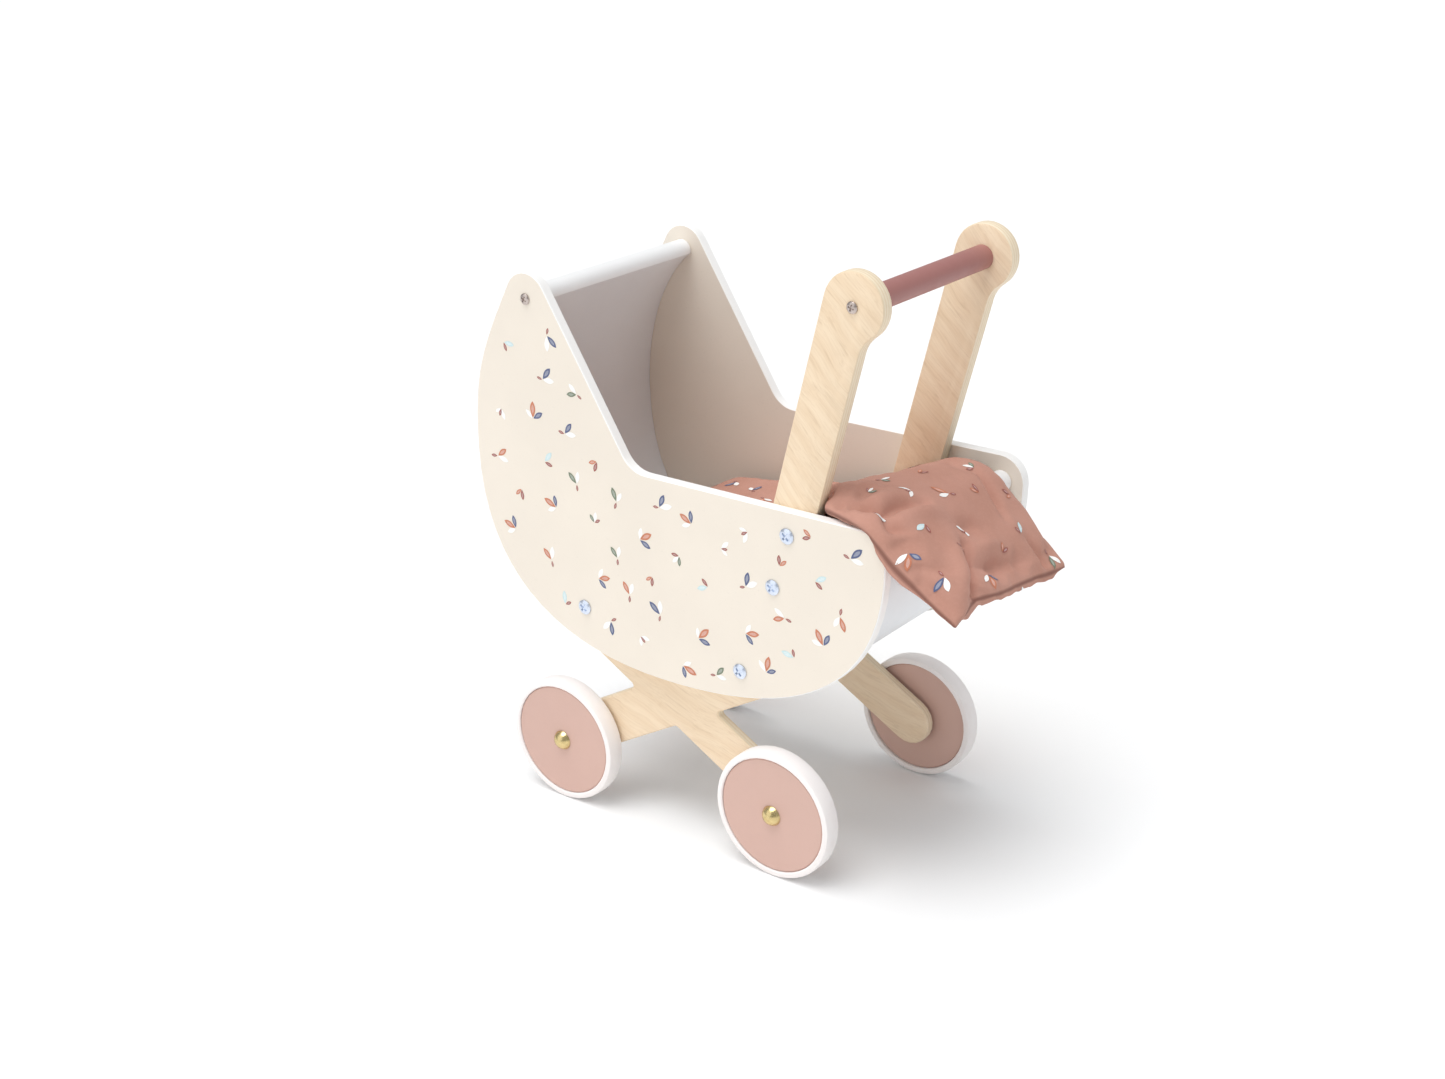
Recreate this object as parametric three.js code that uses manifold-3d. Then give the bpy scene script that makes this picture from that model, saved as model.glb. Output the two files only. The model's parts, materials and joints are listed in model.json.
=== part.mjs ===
// Doll stroller: a low pram body between two crescent side panels, on X-shaped chassis plates
// with four wheels, pushed by a bar between two wooden arms, with a padded duvet in the bed.
//
// Millimetres. +X runs from the hood end to the handle end, +Y to the right-hand side, +Z up.
// The profiles are drawn in a side view whose x starts at the hood-end axle and whose z starts
// at the floor. CENTRE_X then moves everything, so the origin is below the middle of the part.
import * as THREE from 'three';
import { mergeVertices } from 'three/addons/utils/BufferGeometryUtils.js';
import Module from 'manifold-3d';

const wasm = await Module();
wasm.setup();

// ---- driving dimensions ----
const CENTRE_X = 142;
const GAP = 0.3; // clearance left between pieces that touch

const PANEL_INSIDE = 93.8; // inner face of a side panel, from the middle plane
const PANEL_T = 9;
const PANEL_OUTSIDE = PANEL_INSIDE + PANEL_T;
const PANEL_TOP = 305.5;
const PLATE_T = 9;
const ARM_T = 12;
const SHELL_T = 4;

const WHEEL_R = 53.4;
const DISC_R = 48;
const DISC_T = 13.4;
const TYRE_W = 16.4;
const WHEEL_OUTSIDE = 111.8;
const WHEELBASE = 216.5;
const AXLE_R = 3;
const AXLE_BORE = 3.09;

const DOWEL_R = 9;
const BAR_R = 9.5;
const HOOD_DOWEL = [-22, 427.6];
const FOOT_DOWEL = [293.3, 284.3];
const BAR = [277, 463.6];

const LEG_ANGLE = THREE.MathUtils.degToRad(29.55);
const LEG_R = 20; // half the width of a chassis leg
const ARM_ANGLE = THREE.MathUtils.degToRad(74.6);
const ARM_HEAD_R = 25.4;
const ARM_FRONT = 13.7; // front edge of an arm, from the axis through its head
const ARM_BACK = 24.8;

const PLATE_BOLTS = [[25.4, 178.6], [182.2, 164.6]];
const ARM_BOLTS = [[213.8, 242.4], [227.2, 286.3]];

// ---- materials ----
const paint = (color, roughness, metalness = 0) =>
  new THREE.MeshStandardMaterial({ color, roughness, metalness });
const CREAM = paint(0xf5e8db, 0.55);
const WHITE = paint(0xf2f1ee, 0.5);
const WOOD = paint(0xecd2ac, 0.6);
const ROSE = paint(0xd3ae9f, 0.6);
const TERRACOTTA = paint(0xa36f6a, 0.5);
const TYRE_WHITE = paint(0xf6efec, 0.7);
const BRASS = paint(0xcdb573, 0.3, 1);
const ZINC = paint(0xb5bcc6, 0.35, 1);
const CLOTH = paint(0xa8766a, 0.9);

const object = new THREE.Group();
object.name = 'doll_stroller';

// ---- solid helpers ----
function tidy(geometry) {
  const g = geometry.clone();
  g.deleteAttribute('normal');
  g.deleteAttribute('uv');
  return mergeVertices(g, 1e-4);
}

function signedVolume(g) {
  const p = g.getAttribute('position');
  const index = g.getIndex();
  const a = new THREE.Vector3();
  const b = new THREE.Vector3();
  const c = new THREE.Vector3();
  let sum = 0;
  for (let i = 0; i < index.count; i += 3) {
    a.fromBufferAttribute(p, index.getX(i));
    b.fromBufferAttribute(p, index.getX(i + 1));
    c.fromBufferAttribute(p, index.getX(i + 2));
    sum += a.dot(b.cross(c));
  }
  return sum / 6;
}

// A closed geometry whose faces look outwards.
function solid(geometry) {
  const g = tidy(geometry);
  if (signedVolume(g) > 0) {
    return g;
  }
  const order = g.getIndex().array;
  for (let i = 0; i < order.length; i += 3) {
    [order[i], order[i + 1]] = [order[i + 1], order[i]];
  }
  return g;
}

function toManifold(geometry) {
  const g = solid(geometry);
  return new wasm.Manifold(new wasm.Mesh({
    numProp: 3,
    vertProperties: Float32Array.from(g.getAttribute('position').array),
    triVerts: Uint32Array.from(g.getIndex().array),
  }));
}

function cut(geometry, ...cutters) {
  let body = toManifold(geometry);
  for (const cutter of cutters) {
    body = body.subtract(toManifold(cutter));
  }
  const mesh = body.getMesh();
  const out = new THREE.BufferGeometry();
  out.setAttribute('position', new THREE.BufferAttribute(mesh.vertProperties, 3));
  out.setIndex(new THREE.BufferAttribute(mesh.triVerts, 1));
  return mergeVertices(out, 1e-4);
}

function add(name, geometry, material) {
  const g = solid(geometry);
  g.translate(-CENTRE_X, 0, 0);
  g.computeVertexNormals();
  const mesh = new THREE.Mesh(g, material);
  mesh.name = name;
  object.add(mesh);
}

// Outline in the side view (x, z), made thick from y0 to y1, its rims eased by `ease`.
function slab(shape, y0, y1, ease = 0, easeSteps = 1) {
  const g = new THREE.ExtrudeGeometry(shape, {
    depth: y1 - y0 - 2 * ease,
    curveSegments: 1,
    bevelEnabled: ease > 0,
    bevelThickness: ease,
    bevelSize: ease,
    bevelOffset: -ease,
    bevelSegments: easeSteps,
  });
  g.rotateX(Math.PI / 2);
  g.translate(0, y1 - ease, 0);
  return g;
}

// Turned piece about a line along Y through (x, z). Profile points are [radius, y].
function turned(profile, x, z, segments) {
  const points = profile.map(([r, y]) => new THREE.Vector2(r, y));
  return new THREE.LatheGeometry(points, segments).translate(x, 0, z);
}

function rod(r, y0, y1, x, z, segments = 20) {
  return turned([[0, y0], [r, y0], [r, y1], [0, y1]], x, z, segments);
}

function box(x0, x1, y0, y1, z0, z1) {
  const g = new THREE.BoxGeometry(x1 - x0, y1 - y0, z1 - z0);
  return g.translate((x0 + x1) / 2, (y0 + y1) / 2, (z0 + z1) / 2);
}

// The same piece for the other side of the stroller.
function mirrored(geometry) {
  return geometry.clone().scale(1, -1, 1);
}

const along = (angle, s, n = 0) => [
  s * Math.cos(angle) - n * Math.sin(angle),
  s * Math.sin(angle) + n * Math.cos(angle),
];
const plus = (p, q) => [p[0] + q[0], p[1] + q[1]];
const turn = (p, q, r) => (q[0] - p[0]) * (r[1] - q[1]) - (q[1] - p[1]) * (r[0] - q[0]);

// Points on the arc that rounds the corner q between p and r.
function corner(p, [x, z, radius], r, step) {
  const q = new THREE.Vector2(x, z);
  const toP = new THREE.Vector2(p[0], p[1]).sub(q).normalize();
  const toR = new THREE.Vector2(r[0], r[1]).sub(q).normalize();
  const half = Math.acos(THREE.MathUtils.clamp(toP.dot(toR), -1, 1)) / 2;
  const middle = toP.clone().add(toR).normalize();
  const centre = q.clone().addScaledVector(middle, radius / Math.sin(half));
  const start = q.clone().addScaledVector(toP, radius / Math.tan(half)).sub(centre);
  const sweep = (Math.PI - 2 * half) * Math.sign(turn(p, [x, z], r));
  const n = Math.max(2, Math.ceil(Math.abs(sweep) / step));
  const points = [];
  for (let i = 0; i <= n; i += 1) {
    const at = start.clone().rotateAround(new THREE.Vector2(), (sweep * i) / n).add(centre);
    points.push(at);
  }
  return points;
}

// A polygon with every corner rounded. Corners are [x, z, radius], anticlockwise.
function rounded(corners, step = 0.35) {
  const points = [];
  corners.forEach((c, i) => {
    const before = corners[(i + corners.length - 1) % corners.length];
    const after = corners[(i + 1) % corners.length];
    points.push(...corner(before, c, after, step));
  });
  return new THREE.Shape(points.filter((p, i) => p.distanceTo(points.at(i - 1)) > 0.1));
}

const v2 = ([x, z]) => new THREE.Vector2(x, z);
const bezier = (a, b, c, d, n) =>
  new THREE.CubicBezierCurve(v2(a), v2(b), v2(c), v2(d)).getPoints(n);
const arc = (centre, r, a0, a1, n) => {
  const points = [];
  for (let i = 0; i <= n; i += 1) {
    points.push(v2(plus(centre, along(a0 + ((a1 - a0) * i) / n, r))));
  }
  return points;
};

// ---- side panels ----
// The hood edge is a straight line down from the tip round the hood dowel. It meets the level
// top edge in a hollow curve, and the back, belly and foot are three long curves.
const HOOD_SLOPE = Math.atan2(0.8488, -0.5287);
const TIP_R = 21;
const TIP_FROM = HOOD_SLOPE - Math.PI / 2;
const TIP_TO = THREE.MathUtils.degToRad(150.8);
const BACK = [-84.2, 294.9];
const BELLY = [102.4, 135.6];
const FOOT = [312.8, 284.1];
const FOOT_CORNER_R = 21.4;
const KINK_R = 25.5;

function panelOutline() {
  const tipStart = plus(HOOD_DOWEL, along(TIP_FROM, TIP_R));
  const tipEnd = plus(HOOD_DOWEL, along(TIP_TO, TIP_R));
  const tipLead = plus(tipEnd, along(TIP_TO + Math.PI / 2, 65.7));
  const kinkX = tipStart[0] + (PANEL_TOP - tipStart[1]) / Math.tan(HOOD_SLOPE);
  const kink = [kinkX, PANEL_TOP, KINK_R];
  const points = [
    ...arc(HOOD_DOWEL, TIP_R, TIP_FROM, TIP_TO, 9),
    ...bezier(tipEnd, tipLead, [BACK[0], BACK[1] + 64.6], BACK, 12).slice(1),
    ...bezier(BACK, [BACK[0], BACK[1] - 116.1], [BELLY[0] - 103, BELLY[1]], BELLY, 17).slice(1),
    ...bezier(BELLY, [BELLY[0] + 118.5, BELLY[1]], [FOOT[0], FOOT[1] - 113.5], FOOT, 20).slice(1),
    ...arc([FOOT[0] - FOOT_CORNER_R, FOOT[1]], FOOT_CORNER_R, 0, Math.PI / 2, 7).slice(1),
    ...corner([FOOT[0] - 60, PANEL_TOP], kink, tipStart, 0.15),
  ];
  return new THREE.Shape(points);
}

const BOLT_BORE = 3.3;
const SCREW_BORE = 2.2;
const acrossPanel = [PANEL_INSIDE - 1, PANEL_OUTSIDE + 1];

const panel = cut(
  slab(panelOutline(), PANEL_INSIDE, PANEL_OUTSIDE, 0.8),
  ...[...PLATE_BOLTS, ...ARM_BOLTS].map((p) => rod(BOLT_BORE, ...acrossPanel, ...p, 16)),
  rod(SCREW_BORE, ...acrossPanel, ...HOOD_DOWEL, 12),
);
add('side_panel_left', mirrored(panel), CREAM);
add('side_panel_right', panel, CREAM);

// ---- bent body shell ----
// One thin board runs from the hood dowel down the back, along the floor and up to the foot
// dowel. It is notched at both sides where the chassis horns rise through it.
const shellInner = [
  ...bezier([-13.8, 425.5], [-49.6, 397.7], [-63.6, 345.3], [-63.6, 300.5], 14),
  ...bezier([-63.6, 300.5], [-63.6, 179.5], [14.9, 147.4], [102.2, 147.4], 14).slice(1),
  ...bezier([102.2, 147.4], [203.2, 147.4], [296.1, 173.5], [297.1, 274.2], 18).slice(1),
];

// The board between two distances outside its inner face, lengthened at the hood end by `more`.
function shellBand(inner, outer, more = 0) {
  const last = shellInner.length - 1;
  const side = shellInner.map((p, i) => {
    const a = shellInner[Math.max(i - 1, 0)];
    const b = shellInner[Math.min(i + 1, last)];
    return new THREE.Vector2(b.y - a.y, a.x - b.x).normalize();
  });
  const path = shellInner.map((p) => p.clone());
  path[0].add(new THREE.Vector2(-side[0].y, side[0].x).multiplyScalar(-more));
  const near = path.map((p, i) => p.clone().addScaledVector(side[i], inner));
  const far = path.map((p, i) => p.clone().addScaledVector(side[i], outer));
  return new THREE.Shape([...near, ...far.reverse()]);
}

const SHELL_SIDE = PANEL_INSIDE - GAP;
const NOTCH_Y = PANEL_INSIDE - GAP - PLATE_T - 0.6;
const notch = box(-10, 212, NOTCH_Y, 100, 120, 190);
const shell = cut(
  slab(shellBand(0, SHELL_T), -SHELL_SIDE, SHELL_SIDE),
  notch,
  mirrored(notch),
);
add('body_shell', shell, WHITE);

// ---- dowels ----
// The hood dowel and the handle bar are screwed end on, and have pilot holes. The foot dowel is
// glued in place. The hood dowel is cut back underneath, where the shell lies flush in it.
const PILOT = 20;
function screwedDowel(r, halfLength, [x, z]) {
  const e = 0.8;
  const inner = halfLength - PILOT;
  const profile = [
    [0, -inner], [SCREW_BORE, -inner], [SCREW_BORE, -halfLength], [r - e, -halfLength],
    [r, -halfLength + e], [r, halfLength - e], [r - e, halfLength],
    [SCREW_BORE, halfLength], [SCREW_BORE, inner], [0, inner],
  ];
  return turned(profile, x, z, 24);
}

function plainDowel(r, halfLength, [x, z]) {
  const e = 0.8;
  const profile = [
    [0, -halfLength], [r - e, -halfLength], [r, -halfLength + e],
    [r, halfLength - e], [r - e, halfLength], [0, halfLength],
  ];
  return turned(profile, x, z, 24);
}

const rebate = slab(shellBand(-6, SHELL_T + GAP, GAP), -100, 100);
add('hood_dowel', cut(screwedDowel(DOWEL_R, SHELL_SIDE, HOOD_DOWEL), rebate), WHITE);
add('foot_dowel', plainDowel(DOWEL_R, SHELL_SIDE, FOOT_DOWEL), WHITE);

// ---- handle ----
// Each arm lies against the inside of its panel, leans over the foot end and ends in a round
// head. The head runs into the front edge of the arm through a hollow curve.
const ARM_INSIDE = PANEL_INSIDE - GAP - ARM_T;
function armOutline() {
  const across = -Math.PI / 2; // from the arm's axis to its front edge
  const throatR = 25;
  const throatN = ARM_FRONT + throatR;
  const throatS = -Math.sqrt((ARM_HEAD_R + throatR) ** 2 - throatN ** 2);
  const throat = plus(BAR, along(ARM_ANGLE, throatS, -throatN));
  const meet = Math.atan2(throat[1] - BAR[1], throat[0] - BAR[0]);
  const tail = (n) => plus(BAR, along(ARM_ANGLE, -252, n));
  const head = (n) => plus(BAR, along(ARM_ANGLE, -60, n));
  const back = ARM_BACK - 0.01;
  const throatTurn = ARM_ANGLE + Math.PI / 2 - (meet + Math.PI) + 2 * Math.PI;
  return new THREE.Shape([
    ...corner(head(back), [...tail(back), 17], tail(-ARM_FRONT), 0.25),
    ...corner(tail(back), [...tail(-ARM_FRONT), 17], head(-ARM_FRONT), 0.25),
    ...arc(throat, throatR, ARM_ANGLE - across, meet + Math.PI, 6),
    ...arc(BAR, ARM_HEAD_R, meet, ARM_ANGLE + Math.PI / 2, 22).slice(1),
  ]);
}

const arm = cut(
  slab(armOutline(), ARM_INSIDE, ARM_INSIDE + ARM_T, 1.8, 2),
  rod(SCREW_BORE, ARM_INSIDE - 1, ARM_INSIDE + ARM_T + 1, ...BAR, 12),
  ...ARM_BOLTS.map((p) => rod(BOLT_BORE, ARM_INSIDE + 3, ARM_INSIDE + ARM_T + 1, ...p, 16)),
);
add('handle_arm_left', mirrored(arm), WOOD);
add('handle_arm_right', arm, WOOD);
add('handle_bar', screwedDowel(BAR_R, ARM_INSIDE - GAP, BAR), TERRACOTTA);

// ---- chassis plates ----
// An X of four arms: two legs end round the axles, and two horns rise inside the panel to its
// bolts. The hood-end horn is the wider one.
const PLATE_OUTSIDE = PANEL_INSIDE - GAP;
const PLATE_INSIDE = PLATE_OUTSIDE - PLATE_T;
const AXLES = [[0, WHEEL_R], [WHEELBASE, WHEEL_R]];
const UP = LEG_ANGLE;
const BACK_UP = Math.PI - LEG_ANGLE;
const cross = [WHEELBASE / 2, WHEEL_R + (WHEELBASE / 2) * Math.tan(LEG_ANGLE)];
const armpit = LEG_R / Math.sin(LEG_ANGLE);
const crotch = LEG_R / Math.cos(LEG_ANGLE);

function plateOutline() {
  const leg = (axle, angle, n, r) => [...plus(axle, along(angle, LEG_R, n)), r];
  const down = Math.PI + UP;
  const backDown = Math.PI + BACK_UP;
  const round = LEG_R - 0.01;
  return rounded([
    leg(AXLES[0], down, LEG_R, round),
    [cross[0], cross[1] - crotch, 4],
    leg(AXLES[1], backDown, -LEG_R, round),
    leg(AXLES[1], backDown, LEG_R, round),
    [cross[0] + armpit, cross[1], 3],
    [...plus(cross, along(UP, 104, -LEG_R)), 16],
    [...plus(cross, along(UP, 104, LEG_R)), 16],
    [cross[0], cross[1] + crotch, 8],
    [20.8, 200.3, 14],
    [-5, 156.2, 14],
    [cross[0] - armpit, cross[1], 3],
    leg(AXLES[0], down, -LEG_R, round),
  ]);
}

const plate = cut(
  slab(plateOutline(), PLATE_INSIDE, PLATE_OUTSIDE, 1.2),
  ...PLATE_BOLTS.map((p) => rod(BOLT_BORE, PLATE_INSIDE - 1, PLATE_OUTSIDE + 1, ...p, 16)),
  ...AXLES.map((p) => rod(BOLT_BORE, PLATE_INSIDE + 2, PLATE_OUTSIDE + 1, ...p, 16)),
);
add('chassis_plate_left', mirrored(plate), WOOD);
add('chassis_plate_right', plate, WOOD);

// ---- wheels ----
// Each disc turns on a fixed axle bolt screwed into the leg, between a washer and a brass cap.
const WHEEL_INSIDE = WHEEL_OUTSIDE - TYRE_W;
const DISC_OUTSIDE = WHEEL_OUTSIDE - 1;
const DISC_INSIDE = DISC_OUTSIDE - DISC_T;
const CAP_R = 8.5;
const CAP_H = 6.2;
const CAP_FROM = DISC_OUTSIDE + GAP;

function wheelDisc(x) {
  const e = 0.8;
  return turned([
    [AXLE_BORE, DISC_INSIDE], [DISC_R - GAP - e, DISC_INSIDE], [DISC_R - GAP, DISC_INSIDE + e],
    [DISC_R - GAP, DISC_OUTSIDE - e], [DISC_R - GAP - e, DISC_OUTSIDE],
    [AXLE_BORE, DISC_OUTSIDE], [AXLE_BORE, DISC_INSIDE],
  ], x, WHEEL_R, 44);
}

function tyre(x) {
  const profile = [[DISC_R, WHEEL_INSIDE + 0.8], [DISC_R + 0.8, WHEEL_INSIDE]];
  const shoulder = 2.6;
  for (const [y, from] of [[WHEEL_INSIDE + shoulder, -90], [WHEEL_OUTSIDE - shoulder, 0]]) {
    for (let i = 0; i <= 2; i += 1) {
      const a = THREE.MathUtils.degToRad(from + i * 45);
      profile.push([WHEEL_R - shoulder + shoulder * Math.cos(a), y + shoulder * Math.sin(a)]);
    }
  }
  profile.push([DISC_R + 0.8, WHEEL_OUTSIDE], [DISC_R, WHEEL_OUTSIDE - 0.8], profile[0]);
  return turned(profile, x, WHEEL_R, 44);
}

function hubCap(x) {
  const profile = [[0, CAP_FROM + 3], [AXLE_R + GAP, CAP_FROM + 3], [AXLE_R + GAP, CAP_FROM]];
  const bulge = (CAP_R ** 2 + CAP_H ** 2) / (2 * CAP_H); // radius of the dome
  const half = Math.asin(CAP_R / bulge);
  for (let i = 0; i < 5; i += 1) {
    const a = half * (1 - i / 5);
    const y = CAP_FROM + CAP_H - bulge + bulge * Math.cos(a);
    profile.push([bulge * Math.sin(a), y]);
  }
  profile.push([0, CAP_FROM + CAP_H]);
  return turned(profile, x, WHEEL_R, 20);
}

function axleBolt(x) {
  const tip = PLATE_INSIDE + 2 + GAP;
  const end = CAP_FROM + 3 - GAP;
  return turned(
    [[0, tip], [AXLE_R - 0.8, tip], [AXLE_R, tip + 0.8], [AXLE_R, end], [0, end]],
    x, WHEEL_R, 32,
  );
}

function washer(x) {
  const y0 = PLATE_OUTSIDE + GAP;
  const y1 = DISC_INSIDE - GAP;
  return turned([[3.4, y0], [8, y0], [8, y1], [3.4, y1], [3.4, y0]], x, WHEEL_R, 20);
}

for (const [end, x] of [['hood', 0], ['foot', WHEELBASE]]) {
  for (const [side, place] of [['left', mirrored], ['right', (g) => g]]) {
    add(`wheel_disc_${end}_${side}`, place(wheelDisc(x)), ROSE);
    add(`tyre_${end}_${side}`, place(tyre(x)), TYRE_WHITE);
    add(`hub_cap_${end}_${side}`, place(hubCap(x)), BRASS);
    add(`axle_bolt_${end}_${side}`, place(axleBolt(x)), ZINC);
    add(`washer_${end}_${side}`, place(washer(x)), WHITE);
  }
}

// ---- screws and bolts ----
// A domed head with a cross recess lies on the face at y, and its shank runs inwards.
function crossHead(headR, headH, shankR, length, y, [x, z], twist) {
  const seat = y + GAP;
  const profile = [
    [0, seat - length], [shankR, seat - length], [shankR, seat], [headR, seat],
    [headR, seat + headH * 0.35], [headR * 0.8, seat + headH * 0.8],
    [headR * 0.4, seat + headH], [0, seat + headH],
  ];
  const w = headR * 0.14;
  const reach = headR * 0.58;
  const deep = [seat + headH * 0.4, seat + headH + 1];
  const slots = [box(-w, w, ...deep, -reach, reach), box(-reach, reach, ...deep, -w, w)];
  const placed = slots.map((s) => s.rotateY(twist).translate(x, 0, z));
  return cut(turned(profile, x, z, 16), ...placed);
}

const boltLength = PANEL_T + GAP + 7;
const bolts = [
  ['chassis_bolt_hood', PLATE_BOLTS[0], 0.6], ['chassis_bolt_foot', PLATE_BOLTS[1], 0.9],
  ['arm_bolt_lower', ARM_BOLTS[0], 0.55], ['arm_bolt_upper', ARM_BOLTS[1], 0.75],
];
const screws = [
  ['hood_screw', HOOD_DOWEL, PANEL_OUTSIDE, PANEL_T, 0.5],
  ['handle_screw', BAR, ARM_INSIDE + ARM_T, ARM_T, 0.3],
];
for (const [side, place] of [['left', mirrored], ['right', (g) => g]]) {
  for (const [name, at, twist] of bolts) {
    const g = crossHead(6.2, 2.2, 3, boltLength, PANEL_OUTSIDE, at, twist);
    add(`${name}_${side}`, place(g), ZINC);
  }
  for (const [name, at, face, board, twist] of screws) {
    const g = crossHead(4.5, 1.9, 1.9, board + 16, face, at, twist);
    add(`${name}_${side}`, place(g), ZINC);
  }
}

// ---- duvet ----
// A padded quilt lies in the bed, goes up over the foot dowel and over the corner of the left
// panel, and stands out past the foot end. Its two long hems are the edges of one closed solid.
const hem = (points) => new THREE.CatmullRomCurve3(
  points.map(([x, y, z]) => new THREE.Vector3(x, y, z)), false, 'centripetal',
);
const leftHem = hem([
  [3, -77, 177], [17, -78, 207], [48, -78, 232], [96, -78, 243], [154, -77, 256],
  [206, -76, 276], [236, -77, 296], [250, -79.5, 307], [264, -91, 314], [281, -103, 315.5],
  [299, -106, 313.5], [316, -105, 302], [333, -103, 281], [350, -102, 261], [366, -101, 243],
]);
const rightHem = hem([
  [3, 77, 177], [17, 78, 207], [48, 79, 232], [96, 79, 243], [154, 77, 254],
  [200, 74, 268], [236, 71, 285], [258, 68, 296], [276, 65, 304.5], [293, 62, 307],
  [306, 61, 302], [318, 61, 290], [334, 61, 273], [350, 61, 257], [366, 61, 241],
]);
const HEM_T = 3; // half thickness along the edges
const FILL_T = 9; // further half thickness in the middle
const ROWS = 26;
const COLUMNS = 8;

function duvet() {
  const top = [];
  const bottom = [];
  for (let i = 0; i <= ROWS; i += 1) {
    const u = i / ROWS;
    const a = leftHem.getPoint(u);
    const b = rightHem.getPoint(u);
    const tangent = leftHem.getTangent(u).add(rightHem.getTangent(u)).normalize();
    for (let j = 0; j <= COLUMNS; j += 1) {
      const v = j / COLUMNS;
      const across = b.clone().sub(a).normalize();
      const up = tangent.clone().cross(across).normalize();
      const swell = (1 - (2 * u - 1) ** 6) * (1 - Math.abs(2 * v - 1) ** 2.5);
      const half = HEM_T + FILL_T * swell;
      const middle = a.clone().lerp(b, v);
      top.push(middle.clone().addScaledVector(up, half));
      bottom.push(middle.clone().addScaledVector(up, -half));
    }
  }
  const width = COLUMNS + 1;
  const count = top.length;
  const position = [...top, ...bottom].flatMap((p) => [p.x, p.y, p.z]);
  const index = [];
  const quad = (a, b, c, d) => index.push(a, b, c, a, c, d);
  for (let i = 0; i < ROWS; i += 1) {
    for (let j = 0; j < COLUMNS; j += 1) {
      const k = i * width + j;
      quad(k, k + width, k + width + 1, k + 1);
      quad(count + k, count + k + 1, count + k + width + 1, count + k + width);
    }
    const near = i * width;
    const far = near + COLUMNS;
    quad(near, count + near, count + near + width, near + width);
    quad(far, far + width, count + far + width, count + far);
  }
  for (let j = 0; j < COLUMNS; j += 1) {
    const last = ROWS * width + j;
    quad(j, j + 1, count + j + 1, count + j);
    quad(last, count + last, count + last + 1, last + 1);
  }
  const g = new THREE.BufferGeometry();
  g.setAttribute('position', new THREE.Float32BufferAttribute(position, 3));
  g.setIndex(index);
  return g;
}
add('duvet', duvet(), CLOTH);

export default object;
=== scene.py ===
"""Looks for the doll stroller: painted, wooden, metal and rubber finishes on the CAD pieces, a
small leaf print on the panels, and a padded duvet made with a cloth simulation.

Metres, in the frame of the CAD model: +X from the hood end to the handle end, +Z up.
"""

import json
import math
import random

import bpy
import numpy as np
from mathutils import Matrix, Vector, noise
from mathutils.bvhtree import BVHTree


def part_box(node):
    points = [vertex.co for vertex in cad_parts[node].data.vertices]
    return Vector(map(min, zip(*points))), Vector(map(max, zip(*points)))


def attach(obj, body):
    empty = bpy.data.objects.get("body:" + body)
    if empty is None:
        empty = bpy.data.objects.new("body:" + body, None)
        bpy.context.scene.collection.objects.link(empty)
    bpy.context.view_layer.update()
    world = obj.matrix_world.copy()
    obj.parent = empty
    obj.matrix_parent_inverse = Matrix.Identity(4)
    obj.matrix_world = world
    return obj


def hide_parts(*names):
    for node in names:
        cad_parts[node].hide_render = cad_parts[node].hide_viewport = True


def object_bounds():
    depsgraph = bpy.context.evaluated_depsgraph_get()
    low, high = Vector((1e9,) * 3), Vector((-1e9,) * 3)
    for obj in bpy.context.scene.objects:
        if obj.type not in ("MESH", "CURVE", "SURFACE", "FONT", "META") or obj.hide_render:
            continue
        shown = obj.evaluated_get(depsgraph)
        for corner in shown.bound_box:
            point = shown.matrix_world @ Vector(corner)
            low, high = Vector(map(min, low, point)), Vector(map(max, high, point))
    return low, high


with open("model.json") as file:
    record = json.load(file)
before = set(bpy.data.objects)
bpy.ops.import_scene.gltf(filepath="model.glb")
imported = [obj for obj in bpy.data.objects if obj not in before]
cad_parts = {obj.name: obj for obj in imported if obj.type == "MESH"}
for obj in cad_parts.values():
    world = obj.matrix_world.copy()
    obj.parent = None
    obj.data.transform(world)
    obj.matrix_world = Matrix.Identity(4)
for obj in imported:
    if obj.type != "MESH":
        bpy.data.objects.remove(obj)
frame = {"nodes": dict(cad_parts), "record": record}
cad_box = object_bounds()
nodes = frame["nodes"]
slot_of = {s["node"]: s["material_slot"] for s in frame["record"]["subparts"]}

# ---- camera: the angle of the photograph ----
camera = bpy.data.objects.new("camera", bpy.data.cameras.new("camera"))
camera.location = (0.8676, -1.1847, 0.8190)
camera.rotation_euler = [math.radians(a) for a in (68.175, 1.019, 37.49)]
camera.data.lens = 48.996
camera.data.sensor_width = 36
bpy.context.scene.collection.objects.link(camera)
bpy.context.scene.camera = camera


# ---- shading of the CAD pieces ----
def smooth_walls(limit):
    """Modifier nodes that shade the facets of a curved wall as one, and keep edges over `limit`."""
    tree = bpy.data.node_groups.new("smooth_walls", "GeometryNodeTree")
    for way in ("INPUT", "OUTPUT"):
        tree.interface.new_socket("Geometry", in_out=way, socket_type="NodeSocketGeometry")
    start, end, merge, angle, over, normals = (tree.nodes.new(kind) for kind in (
        "NodeGroupInput", "NodeGroupOutput", "GeometryNodeMergeByDistance",
        "GeometryNodeInputMeshEdgeAngle", "FunctionNodeCompare", "GeometryNodeSetMeshNormal"))
    merge.inputs["Distance"].default_value = 2e-6
    over.data_type, over.operation = "FLOAT", "GREATER_THAN"
    over.inputs[1].default_value = limit
    normals.mode = "SHARPNESS"
    normals.inputs["Remove Custom"].default_value = True
    for a, b in (
        (start.outputs[0], merge.inputs["Geometry"]),
        (merge.outputs["Geometry"], normals.inputs["Mesh"]),
        (angle.outputs["Unsigned Angle"], over.inputs[0]),
        (over.outputs[0], normals.inputs["Edge Sharpness"]),
        (normals.outputs["Mesh"], end.inputs[0]),
    ):
        tree.links.new(a, b)
    return tree


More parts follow.
